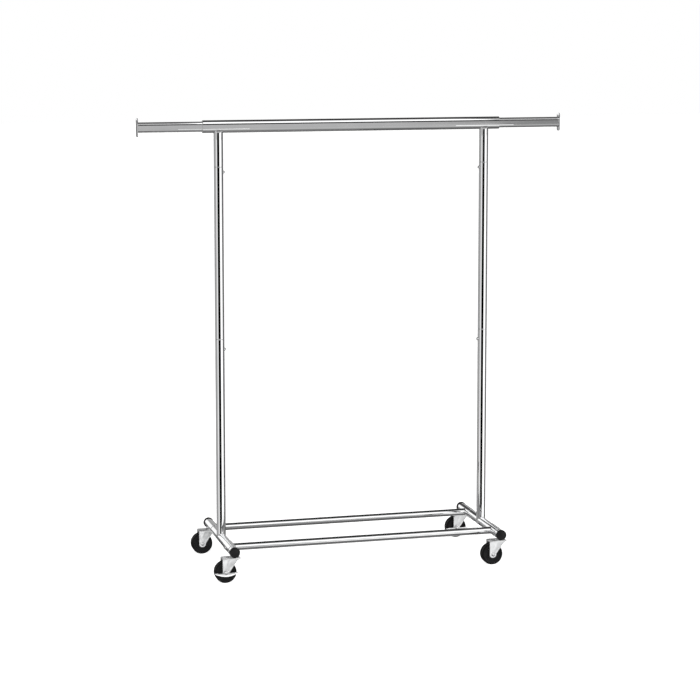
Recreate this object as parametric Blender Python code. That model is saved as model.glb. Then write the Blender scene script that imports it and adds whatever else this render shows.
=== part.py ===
"""Rolling clothes rack with a telescoping top rail, knock-down posts and four swivel casters.

Metres, +Z up. The origin is on the floor under the middle of the rack, X runs along the rail, and
the front is -Y. Every sub-part is one object. Pieces that touch keep FIT_GAP between their faces.
"""

import math

import bmesh
import bpy
from mathutils import Matrix

# ---- Driving dimensions -------------------------------------------------------------------------
FIT_GAP = 0.0003  # between two pieces that are welded, pressed or screwed together
SLIDE_GAP = 0.0003  # between two pieces that slide on each other
TURN_GAP = 0.0005  # between a shaft and what turns on it

RACK_HEIGHT = 1.5615  # floor to the top of the rail
POST_PITCH = 0.955  # between the axes of the two posts

RAIL_LENGTH = 1.066
RAIL_HEIGHT = 0.0434
RAIL_WIDTH = 0.025
RAIL_WALL = 0.0015
RAIL_FLAT = 0.012  # straight part of the rail's sides, which the rounded top and bottom run into
PLATE_FLAT = 0.050  # straight part of the end plates' sides
EXTENSION_REACH = 0.2226  # how far each extension stands out of the rail
EXTENSION_OVERLAP = 0.2274  # how much of it stays inside the rail
EXTENSION_WALL = 0.0012
BUSH_WALL = 0.0022
BUSH_LENGTH = 0.05
BUSH_RECESS = 0.001  # from the mouth of the rail to the bush
PLATE_HEIGHT = 0.064
PLATE_WIDTH = 0.025
PLATE_THICKNESS = 0.003

POST_DIAMETER = 0.032
POST_WALL = 0.0015
STUB_LENGTH = 0.116  # underside of the rail to the upper seam
STUB_HORNS = 0.006  # how far the stub's mouth reaches up beside the rail
UPPER_POST_LENGTH = 0.5964  # upper seam to middle seam
SPIGOT_WALL = 0.0015
SPIGOT_SHOULDER = 0.002
UPPER_SPIGOT = 0.055  # length of the swaged end below each seam
MIDDLE_SPIGOT = 0.075
UPPER_BUTTON_DROP = 0.0185  # seam to the axis of its snap button
MIDDLE_BUTTON_DROP = 0.0358

BUTTON_RADIUS = 0.0052
BUTTON_PROUD = 0.006
BUTTON_FLANGE_RADIUS = 0.006
BUTTON_FLANGE_THICKNESS = 0.0008
BUTTON_HOLE_GAP = 0.0004
CLIP_THICKNESS = 0.0008
CLIP_WIDTH = 0.008
CLIP_LEG_ABOVE = 0.026  # button axis to the start of the clip's bend
CLIP_LEG_BELOW = 0.006  # how far the leg on the far wall passes the button's axis

BAR_DIAMETER = 0.032
BAR_WALL = 0.0015
BAR_LENGTH = 0.4434
CAP_PROUD = 0.002  # how far the cap's lip stands out from the bar
CAP_LIP = 0.010
CAP_PLUG = 0.006
CAP_ROUNDING = 0.002
COLLAR_WALL = 0.001
COLLAR_LENGTH = 0.088
COLLAR_PITCH = 0.304  # between the middles of the two collars on one bar
BASE_RAIL_DIAMETER = 0.025
BASE_RAIL_WALL = 0.0012
BASE_RAIL_PITCH = 0.294
COLLAR_BOLT_RADIUS = 0.003
COLLAR_BOLT_HEAD_RADIUS = 0.006
COLLAR_BOLT_HEAD_HEIGHT = 0.0035
COLLAR_BOLT_SHANK = 0.007

WHEEL_DIAMETER = 0.075
WHEEL_WIDTH = 0.034
CASTER_PITCH = 0.414  # between the swivel axes of the two casters on one bar
TRAIL = 0.030  # swivel axis to wheel axle
WHEEL_TOP_GAP = 0.008  # wheel to the underside of the fork's crown
FORK_WALL = 0.0025
FORK_SIDE_GAP = 0.001  # wheel to each blade
BLADE_TIP_RADIUS = 0.012
CROWN_NOSE = 0.021  # crown ahead of the swivel axis
CROWN_TAIL = 0.006  # crown behind the axle
STEM_RADIUS = 0.005
STEM_FLANGE_RADIUS = 0.010
STEM_FLANGE_THICKNESS = 0.0033
STEM_HEAD_RADIUS = 0.0085
STEM_HEAD_THICKNESS = 0.002
STEM_ABOVE_AXIS = 0.006  # stem tip above the axis of the side bar
RACE_RADIUS = 0.013
RACE_THICKNESS = 0.0045
AXLE_RADIUS = 0.004
AXLE_HEAD_RADIUS = 0.0065
AXLE_HEAD_HEIGHT = 0.0035
PEDAL_THICKNESS = 0.002
PEDAL_LEAN = 0.0032  # how far the lower edge of the tread leans out
PEDAL_DROP = 0.0125  # axle to the tread's lower edge
PEDAL_HUB_RADIUS = 0.0095
PEDAL_REACH = 0.042  # axle to the tip of each wing
PEDAL_TIP = 0.0022  # height of the tips

ROUND_STEPS = 24
SMALL_ROUND_STEPS = 16
WHEEL_STEPS = 32
ARC_STEPS = 8
CUTTER_MARGIN = 0.01

SIDES = {"left": -1, "right": 1}
ENDS = {"front": -1, "back": 1}
BRAKED = ("front_left", "back_right")

# ---- Sizes that follow from them ----------------------------------------------------------------
RAIL_AXIS_Z = RACK_HEIGHT - RAIL_HEIGHT / 2
RAIL_BOTTOM_Z = RACK_HEIGHT - RAIL_HEIGHT
UPPER_SEAM_Z = RAIL_BOTTOM_Z - STUB_LENGTH
MIDDLE_SEAM_Z = UPPER_SEAM_Z - UPPER_POST_LENGTH
EXTENSION_INSET = RAIL_WALL + FIT_GAP + BUSH_WALL + SLIDE_GAP
EXTENSION_HEIGHT = RAIL_HEIGHT - 2 * EXTENSION_INSET
EXTENSION_WIDTH = RAIL_WIDTH - 2 * EXTENSION_INSET
POST_RADIUS = POST_DIAMETER / 2
POST_BORE = POST_RADIUS - POST_WALL
SPIGOT_RADIUS = POST_BORE - FIT_GAP
SPIGOT_BORE = SPIGOT_RADIUS - SPIGOT_WALL
BAR_RADIUS = BAR_DIAMETER / 2
BAR_BORE = BAR_RADIUS - BAR_WALL
COLLAR_BORE = BAR_RADIUS + FIT_GAP
COLLAR_RADIUS = COLLAR_BORE + COLLAR_WALL
WHEEL_RADIUS = WHEEL_DIAMETER / 2
CROWN_UNDERSIDE_Z = WHEEL_DIAMETER + WHEEL_TOP_GAP
CROWN_TOP_Z = CROWN_UNDERSIDE_Z + FORK_WALL
BAR_BOTTOM_Z = CROWN_TOP_Z + STEM_FLANGE_THICKNESS + 2 * FIT_GAP
BAR_AXIS_Z = BAR_BOTTOM_Z + BAR_RADIUS
FORK_INSIDE = WHEEL_WIDTH / 2 + FORK_SIDE_GAP
FORK_OUTSIDE = FORK_INSIDE + FORK_WALL


# ---- Materials ----------------------------------------------------------------------------------
def material(name, colour, metallic, roughness):
    made = bpy.data.materials.new(name)
    made.use_nodes = True
    shader = made.node_tree.nodes["Principled BSDF"]
    shader.inputs["Base Color"].default_value = (*colour, 1.0)
    shader.inputs["Metallic"].default_value = metallic
    shader.inputs["Roughness"].default_value = roughness
    return made


# ---- Outlines: lists of (u, v) points, anticlockwise --------------------------------------------
def arc(centre, radius, start, end, steps=ARC_STEPS):
    """Points on a circle from one angle to another, in degrees, ends included."""
    turns = [math.radians(start + (end - start) * i / steps) for i in range(steps + 1)]
    return [(centre[0] + radius * math.cos(t), centre[1] + radius * math.sin(t)) for t in turns]


def oval(width, height, flat):
    """A flat-sided tube's outline: two half ellipses joined by straight sides of length flat."""
    tall = (height - flat) / (width)
    cap = [(u, v * tall) for u, v in arc((0, 0), width / 2, 0, 180, 2 * ARC_STEPS)]
    return [(u, v + flat / 2) for u, v in cap] + [(-u, -v - flat / 2) for u, v in cap]


# ---- Meshes -------------------------------------------------------------------------------------
def new_object(name, mesh_maker, look, parent=None):
    """An object from a function that fills a bmesh, shaded smooth with its corners left sharp."""
    mesh = bpy.data.meshes.new(name)
    shape = bmesh.new()
    mesh_maker(shape)
    bmesh.ops.recalc_face_normals(shape, faces=shape.faces)
    shape.to_mesh(mesh)
    shape.free()
    mesh.shade_smooth()
    mesh.set_sharp_from_angle(angle=math.radians(35))
    made = bpy.data.objects.new(name, mesh)
    bpy.context.scene.collection.objects.link(made)
    if look is not None:
        mesh.materials.append(look)
    made.parent = parent
    return made


def turned(name, profile, look, parent=None, steps=ROUND_STEPS, start=0):
    """A closed (radius, height) profile turned about the local Z axis, from start, in steps."""

    def fill(shape):
        rings = []
        for i in range(steps):
            angle = 2 * math.pi * (i + start) / steps
            rings.append([(r * math.cos(angle), r * math.sin(angle), h) for r, h in profile])
        on_axis = {k: shape.verts.new((0, 0, h)) for k, (r, h) in enumerate(profile) if r == 0}
        columns = [
            [on_axis.get(k) or shape.verts.new(point) for k, point in enumerate(ring)] for ring in rings
        ]
        for i in range(steps):
            here, there = columns[i], columns[(i + 1) % steps]
            for k in range(len(profile)):
                after = (k + 1) % len(profile)
                corners = [here[k], there[k], there[after], here[after]]
                corners = list(dict.fromkeys(corners))
                if len(corners) > 2:
                    shape.faces.new(corners)

    return new_object(name, fill, look, parent)


def extruded(name, outline, low, high, look, parent=None):
    """An outline in the XZ plane, extruded along Y from low to high."""

    def fill(shape):
        near = [shape.verts.new((u, low, v)) for u, v in outline]
        far = [shape.verts.new((u, high, v)) for u, v in outline]
        shape.faces.new(near)
        shape.faces.new(far[::-1])
        for i in range(len(outline)):
            j = (i + 1) % len(outline)
            shape.faces.new((near[i], near[j], far[j], far[i]))

    return new_object(name, fill, look, parent)


def oval_tube(name, width, height, flat, wall, length, look):
    """A flat-sided tube along X, from x = 0 to its length. With no wall it is solid."""

    def fill(shape):
        loops = [oval(width, height, flat)]
        if wall:
            loops.append(oval(width - 2 * wall, height - 2 * wall, flat))
        rings = [[[shape.verts.new((x, u, v)) for u, v in loop] for loop in loops] for x in (0, length)]
        count = len(loops[0])
        for i in range(count):
            j = (i + 1) % count
            for depth in range(len(loops)):
                near, far = rings[0][depth], rings[1][depth]
                shape.faces.new((near[i], near[j], far[j], far[i]))
            if wall:
                for ring in rings:
                    shape.faces.new((ring[0][i], ring[0][j], ring[1][j], ring[1][i]))
        if not wall:
            for ring in rings:
                shape.faces.new(ring[0])

    return new_object(name, fill, look)


def pipe(name, outer, bore, low, high, look, parent=None):
    """A round tube about the local Z axis."""
    return turned(name, [(outer, low), (outer, high), (bore, high), (bore, low)], look, parent)


def rod(name, radius, low, high, parent=None, steps=ROUND_STEPS):
    """A helper bar about the local Z axis. Half a step's turn keeps its edges off those it cuts."""
    profile = [(0, low), (radius, low), (radius, high), (0, high)]
    return turned(name, profile, None, parent, steps, 0.5)


def lay_along(made, axis, sign=1):
    """Turns an object whose axis is its local Z to run along X or Y."""
    if axis == "X":
        made.rotation_euler = (0, sign * math.pi / 2, 0)
    else:
        made.rotation_euler = (sign * -math.pi / 2, 0, 0)
    return made


def combine(target, tool, operation="DIFFERENCE"):
    """Cuts or joins a helper object, which stays in the file as a hidden wire shape."""
    tool.hide_render = True
    tool.display_type = "WIRE"
    modifier = target.modifiers.new(tool.name, "BOOLEAN")
    modifier.operation = operation
    modifier.object = tool


# ---- Rail and its extensions --------------------------------------------------------------------
def make_rail(looks):
    size = (RAIL_WIDTH, RAIL_HEIGHT, RAIL_FLAT, RAIL_WALL, RAIL_LENGTH)
    rail = oval_tube("rail_tube", *size, looks["chrome"])
    rail.location = (-RAIL_LENGTH / 2, 0, RAIL_AXIS_Z)
    for side, sign in SIDES.items():
        mouth = sign * RAIL_LENGTH / 2
        bush = oval_tube(
            f"{side}_rail_bush",
            RAIL_WIDTH - 2 * (RAIL_WALL + FIT_GAP),
            RAIL_HEIGHT - 2 * (RAIL_WALL + FIT_GAP),
            RAIL_FLAT,
            BUSH_WALL,
            BUSH_LENGTH,
            looks["nylon"],
        )
        middle = mouth - sign * (BUSH_RECESS + BUSH_LENGTH / 2)
        bush.location = (middle - BUSH_LENGTH / 2, 0, RAIL_AXIS_Z)

        length = EXTENSION_REACH + EXTENSION_OVERLAP
        tube = oval_tube(
            f"{side}_extension_tube",
            EXTENSION_WIDTH,
            EXTENSION_HEIGHT,
            RAIL_FLAT,
            EXTENSION_WALL,
            length,
            looks["chrome"],
        )
        outer_end = mouth + sign * EXTENSION_REACH
        tube.location = (min(outer_end, outer_end - sign * length), 0, RAIL_AXIS_Z)

        size = (PLATE_WIDTH, PLATE_HEIGHT, PLATE_FLAT, 0, PLATE_THICKNESS)
        plate = oval_tube(f"{side}_end_plate", *size, looks["chrome"])
        plate_middle = outer_end + sign * (FIT_GAP + PLATE_THICKNESS / 2)
        plate.location = (plate_middle - PLATE_THICKNESS / 2, 0, RAIL_AXIS_Z)


# ---- Posts --------------------------------------------------------------------------------------
def spigot_profile(top_z, seam_z, spigot_length):
    """A tube whose lower end is swaged down to slide into the tube below the seam."""
    foot = seam_z - spigot_length
    return [
        (POST_RADIUS, seam_z),
        (POST_RADIUS, top_z),
        (POST_BORE, top_z),
        (POST_BORE, seam_z + SPIGOT_SHOULDER),
        (SPIGOT_BORE, seam_z),
        (SPIGOT_BORE, foot),
        (SPIGOT_RADIUS, foot),
        (SPIGOT_RADIUS, seam_z - SPIGOT_SHOULDER),
        (SPIGOT_RADIUS, seam_z),
    ]


def make_posts(looks):
    for side, sign in SIDES.items():
        x = sign * POST_PITCH / 2
        stub_top = RAIL_BOTTOM_Z + STUB_HORNS
        stub = turned(
            f"{side}_rail_stub", spigot_profile(stub_top, UPPER_SEAM_Z, UPPER_SPIGOT), looks["chrome"]
        )
        stub.location.x = x
        saddle = oval_tube(
            f"{side}_stub_saddle",
            RAIL_WIDTH + 2 * FIT_GAP,
            RAIL_HEIGHT + 2 * FIT_GAP,
            RAIL_FLAT,
            0,
            POST_DIAMETER + 2 * CUTTER_MARGIN,
            None,
        )
        saddle.location = (x - POST_RADIUS - CUTTER_MARGIN, 0, RAIL_AXIS_Z)
        combine(stub, saddle)

        upper = turned(
            f"{side}_upper_post",
            spigot_profile(UPPER_SEAM_Z - FIT_GAP, MIDDLE_SEAM_Z, MIDDLE_SPIGOT),
            looks["chrome"],
        )
        upper.location.x = x

        foot = BAR_AXIS_Z + BAR_RADIUS / 4
        lower = pipe(
            f"{side}_lower_post", POST_RADIUS, POST_BORE, foot, MIDDLE_SEAM_Z - FIT_GAP, looks["chrome"]
        )
        lower.location.x = x
        bar_cut = rod(
            f"{side}_post_cope", BAR_RADIUS + FIT_GAP, -POST_DIAMETER, POST_DIAMETER, steps=2 * ROUND_STEPS
        )
        lay_along(bar_cut, "Y").location = (x, 0, BAR_AXIS_Z)
        combine(lower, bar_cut)

        joints = (
            ("upper", UPPER_SEAM_Z - UPPER_BUTTON_DROP, (stub, upper)),
            ("middle", MIDDLE_SEAM_Z - MIDDLE_BUTTON_DROP, (upper, lower)),
        )
        for level, z, tubes in joints:
            make_snap_button(f"{side}_{level}", x, z, -sign, looks)
            hole = rod(
                f"{side}_{level}_button_hole",
                BUTTON_RADIUS + BUTTON_HOLE_GAP,
                SPIGOT_BORE / 2,
                POST_RADIUS + CUTTER_MARGIN,
                steps=SMALL_ROUND_STEPS,
            )
            lay_along(hole, "X", -sign).location = (x, 0, z)
            for tube in tubes:
                combine(tube, hole)


def make_snap_button(name, x, z, facing, looks):
    """A sprung button that locks a spigot in its socket. Facing is the way it points along X."""
    edge = BUTTON_FLANGE_RADIUS / SPIGOT_BORE
    flange_face = SPIGOT_BORE * math.sqrt(1 - edge * edge) - FIT_GAP
    flange_back = flange_face - BUTTON_FLANGE_THICKNESS
    tip = POST_RADIUS + BUTTON_PROUD
    dome_start = tip - BUTTON_RADIUS
    dome = [(BUTTON_RADIUS * math.cos(t), dome_start + BUTTON_RADIUS * math.sin(t)) for t in dome_angles()]
    profile = [
        (0, flange_back),
        (BUTTON_FLANGE_RADIUS, flange_back),
        (BUTTON_FLANGE_RADIUS, flange_face),
        (BUTTON_RADIUS, flange_face),
        *dome,
        (0, tip),
    ]
    button = turned(f"{name}_snap_button", profile, looks["zinc"], steps=SMALL_ROUND_STEPS)
    lay_along(button, "X", facing).location = (x, 0, z)

    make_button_spring(name, x, z, facing, flange_face, looks)


def make_button_spring(name, x, z, facing, leaf_face, looks):
    """A bent leaf. Its near leg ends at the button's flange, and its far leg rests on the tube."""
    half = CLIP_WIDTH / 2 + FIT_GAP
    near = leaf_face - CLIP_THICKNESS / 2
    far = -math.sqrt(SPIGOT_BORE * SPIGOT_BORE - half * half) + FIT_GAP + CLIP_THICKNESS / 2
    bend = (near - far) / 2
    middle = (near + far) / 2
    outside = arc((middle, CLIP_LEG_ABOVE), bend + CLIP_THICKNESS / 2, 0, 180, 2 * ARC_STEPS)
    inside = arc((middle, CLIP_LEG_ABOVE), bend - CLIP_THICKNESS / 2, 180, 0, 2 * ARC_STEPS)
    near_foot = BUTTON_FLANGE_RADIUS + 2 * FIT_GAP
    far_foot = -CLIP_LEG_BELOW
    outline = [
        (near + CLIP_THICKNESS / 2, near_foot),
        *outside,
        (far - CLIP_THICKNESS / 2, far_foot),
        (far + CLIP_THICKNESS / 2, far_foot),
        *inside,
        (near - CLIP_THICKNESS / 2, near_foot),
    ]
    clip = extruded(f"{name}_button_spring", outline, -CLIP_WIDTH / 2, CLIP_WIDTH / 2, looks["spring"])
    clip.rotation_euler.z = 0 if facing > 0 else math.pi
    clip.location = (x, 0, z)


def dome_angles():
    return [math.radians(18 * i) for i in range(5)]


# ---- Base frame ---------------------------------------------------------------------------------
def make_base(looks):
    for side, sign in SIDES.items():
        x = sign * POST_PITCH / 2
        bar_end = BAR_LENGTH / 2
        bar = pipe(f"{side}_side_bar", BAR_RADIUS, BAR_BORE, -bar_end, bar_end, looks["chrome"])
        lay_along(bar, "Y").location = (x, 0, BAR_AXIS_Z)
        for end, way in ENDS.items():
            corner = f"{end}_{side}"
            drill = rod(f"{corner}_stem_hole", STEM_RADIUS + FIT_GAP, -BAR_RADIUS - CUTTER_MARGIN, 0)
            drill.location = (x, way * CASTER_PITCH / 2, BAR_AXIS_Z)
            combine(bar, drill)
            make_collar(bar, corner, x, sign, way * COLLAR_PITCH / 2, looks)
            cap = turned(f"{corner}_end_cap", cap_profile(), looks["black"])
            lay_along(cap, "Y", way).location = (x, way * BAR_LENGTH / 2, BAR_AXIS_Z)

    for end, way in ENDS.items():
        rail = pipe(
            f"{end}_base_rail",
            BASE_RAIL_DIAMETER / 2,
            BASE_RAIL_DIAMETER / 2 - BASE_RAIL_WALL,
            -POST_PITCH / 2,
            POST_PITCH / 2,
            looks["chrome"],
        )
        y = way * BASE_RAIL_PITCH / 2
        lay_along(rail, "X").location = (0, y, BAR_AXIS_Z)
        for side, sign in SIDES.items():
            cope = rod(
                f"{end}_{side}_rail_cope",
                COLLAR_RADIUS + FIT_GAP,
                -BASE_RAIL_DIAMETER,
                BASE_RAIL_DIAMETER,
                steps=2 * ROUND_STEPS,
            )
            lay_along(cope, "Y").location = (sign * POST_PITCH / 2, y, BAR_AXIS_Z)
            combine(rail, cope)


def cap_profile():
    """The plug goes into the bar below z = 0, and the lip covers its end above."""
    plug = BAR_BORE - FIT_GAP
    top = FIT_GAP + CAP_LIP
    radius = BAR_RADIUS + CAP_PROUD
    rounded = arc((radius - CAP_ROUNDING, top - CAP_ROUNDING), CAP_ROUNDING, 0, 90, 3)
    return [(0, -CAP_PLUG), (plug, -CAP_PLUG), (plug, FIT_GAP), (radius, FIT_GAP), *rounded, (0, top)]


def make_collar(bar, corner, x, outward, y, looks):
    """The sleeve that the base rail is welded to. It slides over the bar and a screw locks it."""
    collar = pipe(
        f"{corner}_tee_collar",
        COLLAR_RADIUS,
        COLLAR_BORE,
        -COLLAR_LENGTH / 2,
        COLLAR_LENGTH / 2,
        looks["chrome"],
    )
    lay_along(collar, "Y").location = (x, y, BAR_AXIS_Z)
    hole = rod(
        f"{corner}_screw_hole",
        COLLAR_BOLT_RADIUS + FIT_GAP,
        BAR_BORE / 2,
        COLLAR_RADIUS + CUTTER_MARGIN,
        steps=SMALL_ROUND_STEPS,
    )
    lay_along(hole, "X", outward).location = (x, y, BAR_AXIS_Z)
    combine(bar, hole)
    combine(collar, hole)

    seat = COLLAR_RADIUS + FIT_GAP
    top = seat + COLLAR_BOLT_HEAD_HEIGHT
    profile = [
        (0, seat - COLLAR_BOLT_SHANK),
        (COLLAR_BOLT_RADIUS, seat - COLLAR_BOLT_SHANK),
        (COLLAR_BOLT_RADIUS, seat),
        (COLLAR_BOLT_HEAD_RADIUS, seat),
        (COLLAR_BOLT_HEAD_RADIUS, seat + COLLAR_BOLT_HEAD_HEIGHT / 3),
        (COLLAR_BOLT_HEAD_RADIUS * 0.7, seat + COLLAR_BOLT_HEAD_HEIGHT * 0.8),
        (COLLAR_BOLT_HEAD_RADIUS * 0.3, top),
        (0, top),
    ]
    screw = turned(f"{corner}_collar_screw", profile, looks["zinc"], steps=SMALL_ROUND_STEPS)
    lay_along(screw, "X", outward).location = (x, y, BAR_AXIS_Z)


# ---- Casters ------------------------------------------------------------------------------------
def make_caster(corner, x, y, looks):
    """A stem caster at rest with its wheel trailing towards -X. Its pieces hang on one empty."""
    pivot = bpy.data.objects.new(f"{corner}_caster", None)
    pivot.location = (x, y, 0)
    bpy.context.scene.collection.objects.link(pivot)
    braked = corner in BRAKED

    race_low = CROWN_UNDERSIDE_Z - FIT_GAP - RACE_THICKNESS
    head_top = race_low - FIT_GAP
    flange_low = CROWN_TOP_Z + FIT_GAP
    stem_profile = [
        (0, head_top - STEM_HEAD_THICKNESS),
        (STEM_HEAD_RADIUS, head_top - STEM_HEAD_THICKNESS),
        (STEM_HEAD_RADIUS, head_top),
        (STEM_RADIUS, head_top),
        (STEM_RADIUS, flange_low),
        (STEM_FLANGE_RADIUS, flange_low),
        (STEM_FLANGE_RADIUS, flange_low + STEM_FLANGE_THICKNESS),
        (STEM_RADIUS, flange_low + STEM_FLANGE_THICKNESS),
        (STEM_RADIUS, BAR_AXIS_Z + STEM_ABOVE_AXIS),
        (0, BAR_AXIS_Z + STEM_ABOVE_AXIS),
    ]
    turned(f"{corner}_caster_stem", stem_profile, looks["zinc"], pivot, SMALL_ROUND_STEPS)
    race_bore = STEM_RADIUS + TURN_GAP
    race_top = race_low + RACE_THICKNESS
    pipe(f"{corner}_ball_race", RACE_RADIUS, race_bore, race_low, race_top, looks["zinc"], pivot)
    make_fork(corner, pivot, looks)

    wheel = turned(f"{corner}_wheel", wheel_profile(), looks["tyre"], pivot, WHEEL_STEPS)
    lay_along(wheel, "Y").location = (-TRAIL, 0, WHEEL_RADIUS)
    make_axle(corner, pivot, braked, looks)
    if braked:
        make_pedal(corner, pivot, looks)


def make_fork(corner, pivot, looks):
    axle = (-TRAIL, WHEEL_RADIUS)
    tail = -TRAIL - CROWN_TAIL
    outline = [
        (tail, CROWN_UNDERSIDE_Z),
        *arc(axle, BLADE_TIP_RADIUS, 172, 370, 2 * ARC_STEPS),
        (CROWN_NOSE - 0.023, CROWN_UNDERSIDE_Z - 0.0205),
        (CROWN_NOSE - 0.014, CROWN_UNDERSIDE_Z - 0.008),
        (CROWN_NOSE - 0.006, CROWN_UNDERSIDE_Z - 0.0022),
        (CROWN_NOSE, CROWN_UNDERSIDE_Z),
        (CROWN_NOSE, CROWN_TOP_Z),
        (tail, CROWN_TOP_Z),
    ]
    fork = extruded(f"{corner}_fork", outline, -FORK_OUTSIDE, FORK_OUTSIDE, looks["zinc"], pivot)
    channel_outline = [
        (tail - CUTTER_MARGIN, 0),
        (CROWN_NOSE + CUTTER_MARGIN, 0),
        (CROWN_NOSE + CUTTER_MARGIN, CROWN_UNDERSIDE_Z),
        (tail - CUTTER_MARGIN, CROWN_UNDERSIDE_Z),
    ]
    channel = extruded(
        f"{corner}_fork_channel", channel_outline, -FORK_INSIDE, FORK_INSIDE, None, pivot
    )
    combine(fork, channel)
    combine(fork, rod(f"{corner}_fork_stem_hole", STEM_RADIUS + TURN_GAP, WHEEL_RADIUS, BAR_AXIS_Z, pivot))
    axle_hole = rod(
        f"{corner}_fork_axle_hole",
        AXLE_RADIUS + FIT_GAP,
        -POST_DIAMETER,
        POST_DIAMETER,
        pivot,
        SMALL_ROUND_STEPS,
    )
    lay_along(axle_hole, "Y").location = (-TRAIL, 0, WHEEL_RADIUS)
    combine(fork, axle_hole)


def wheel_profile():
    """A solid wheel with a hub, a thinner web and a tread with rounded shoulders."""
    half = WHEEL_WIDTH / 2
    bore = AXLE_RADIUS + TURN_GAP
    shoulder = half * 0.3
    face = [
        (bore, half),
        (WHEEL_RADIUS * 0.31, half),
        (WHEEL_RADIUS * 0.34, half * 0.72),
        (WHEEL_RADIUS * 0.72, half * 0.72),
        (WHEEL_RADIUS * 0.76, half * 0.93),
        (WHEEL_RADIUS - shoulder, half * 0.93),
        *arc((WHEEL_RADIUS - shoulder, half * 0.93 - shoulder), shoulder, 60, 0, 2),
    ]
    return face + [(r, -h) for r, h in reversed(face)]


def make_axle(corner, pivot, braked, looks):
    """A shouldered axle bolt: a domed head at the front, outside the pedal if there is one."""
    pedal_room = PEDAL_THICKNESS + FIT_GAP if braked else 0
    front = FORK_OUTSIDE + FIT_GAP + pedal_room
    back = FORK_OUTSIDE + FIT_GAP
    profile = [
        (0, -back - AXLE_HEAD_HEIGHT),
        (AXLE_HEAD_RADIUS, -back - AXLE_HEAD_HEIGHT),
        (AXLE_HEAD_RADIUS, -back),
        (AXLE_RADIUS, -back),
        (AXLE_RADIUS, front),
        (AXLE_HEAD_RADIUS, front),
        (AXLE_HEAD_RADIUS * 0.9, front + AXLE_HEAD_HEIGHT * 0.5),
        (AXLE_HEAD_RADIUS * 0.5, front + AXLE_HEAD_HEIGHT * 0.9),
        (0, front + AXLE_HEAD_HEIGHT),
    ]
    axle = turned(f"{corner}_axle_bolt", profile, looks["zinc"], pivot, SMALL_ROUND_STEPS)
    lay_along(axle, "Y", -1).location = (-TRAIL, 0, WHEEL_RADIUS)


def make_pedal(corner, pivot, looks):
    """A rocking foot lever on the axle bolt: a hub plate and a crescent tread that leans out."""
    near = -FORK_OUTSIDE - FIT_GAP - PEDAL_THICKNESS
    far = near + PEDAL_THICKNESS
    hub = arc((0, 0), PEDAL_HUB_RADIUS, 0, 337.5, 15)
    pedal = extruded(f"{corner}_brake_pedal", hub, near, far, looks["zinc"], pivot)
    pedal.location = (-TRAIL, 0, WHEEL_RADIUS)

    steps = 2 * ARC_STEPS
    across = [PEDAL_REACH * (2 * i / steps - 1) for i in range(steps + 1)]
    depth = PEDAL_DROP - PEDAL_TIP
    lower = [(u, -PEDAL_TIP - depth * math.cos(u / PEDAL_REACH * math.pi / 2)) for u in across]
    outline = lower + [(PEDAL_REACH, 0), (-PEDAL_REACH, 0)]
    tread = extruded(f"{corner}_pedal_tread", outline, near, far - PEDAL_THICKNESS / 4, None, pivot)
    lean = Matrix.Identity(4)
    lean[1][2] = PEDAL_LEAN / PEDAL_DROP
    tread.data.transform(lean)
    tread.location = pedal.location
    combine(pedal, tread, "UNION")
    recess = AXLE_HEAD_RADIUS + TURN_GAP
    pocket = rod(f"{corner}_pedal_pocket", recess, FIT_GAP / 3 - near, POST_DIAMETER, pivot)
    lay_along(pocket, "Y", -1).location = pedal.location
    combine(pedal, pocket)
    hole = rod(f"{corner}_pedal_hole", AXLE_RADIUS + TURN_GAP, 0, POST_DIAMETER, pivot, SMALL_ROUND_STEPS)
    lay_along(hole, "Y", -1).location = pedal.location
    combine(pedal, hole)


def main():
    for old in list(bpy.data.objects):
        bpy.data.objects.remove(old, do_unlink=True)
    looks = {
        "chrome": material("chrome", (0.80, 0.81, 0.82), 1.0, 0.08),
        "zinc": material("bright_zinc", (0.72, 0.73, 0.74), 1.0, 0.25),
        "spring": material("spring_steel", (0.35, 0.36, 0.38), 1.0, 0.35),
        "nylon": material("white_nylon", (0.75, 0.75, 0.73), 0.0, 0.5),
        "black": material("black_plastic", (0.02, 0.02, 0.02), 0.0, 0.45),
        "tyre": material("black_wheel", (0.025, 0.025, 0.025), 0.0, 0.55),
    }
    make_rail(looks)
    make_posts(looks)
    make_base(looks)
    for end, way in ENDS.items():
        for side, sign in SIDES.items():
            make_caster(f"{end}_{side}", sign * POST_PITCH / 2, way * CASTER_PITCH / 2, looks)


main()
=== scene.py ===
"""The rolling clothes rack, dressed for its picture: chrome tubes, zinc casters, black caps and wheels.

Every piece is built in metres in the CAD frame, with its vertices in world coordinates.
"""

import math

import bmesh
import bpy
from mathutils import Matrix, Vector


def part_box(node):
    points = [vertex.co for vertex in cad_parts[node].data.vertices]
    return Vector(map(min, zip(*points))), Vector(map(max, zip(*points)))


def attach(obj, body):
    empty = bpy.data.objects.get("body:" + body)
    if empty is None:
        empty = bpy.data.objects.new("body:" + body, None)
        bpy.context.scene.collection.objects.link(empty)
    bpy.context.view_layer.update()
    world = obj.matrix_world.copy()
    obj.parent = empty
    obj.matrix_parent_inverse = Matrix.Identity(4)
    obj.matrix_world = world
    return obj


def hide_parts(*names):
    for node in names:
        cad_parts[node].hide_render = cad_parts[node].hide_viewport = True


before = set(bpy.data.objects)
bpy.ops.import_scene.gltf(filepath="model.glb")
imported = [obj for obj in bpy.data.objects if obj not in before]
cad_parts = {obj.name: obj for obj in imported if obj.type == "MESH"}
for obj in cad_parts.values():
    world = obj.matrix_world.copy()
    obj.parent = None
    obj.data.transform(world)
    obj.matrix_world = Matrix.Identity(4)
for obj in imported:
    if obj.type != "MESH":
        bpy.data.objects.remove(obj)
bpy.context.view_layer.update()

SIDES = {"left": -1, "right": 1}
ENDS = {"front": -1, "back": 1}
BRAKED = ("front_left", "back_right")
GAP = 0.0003


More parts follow.
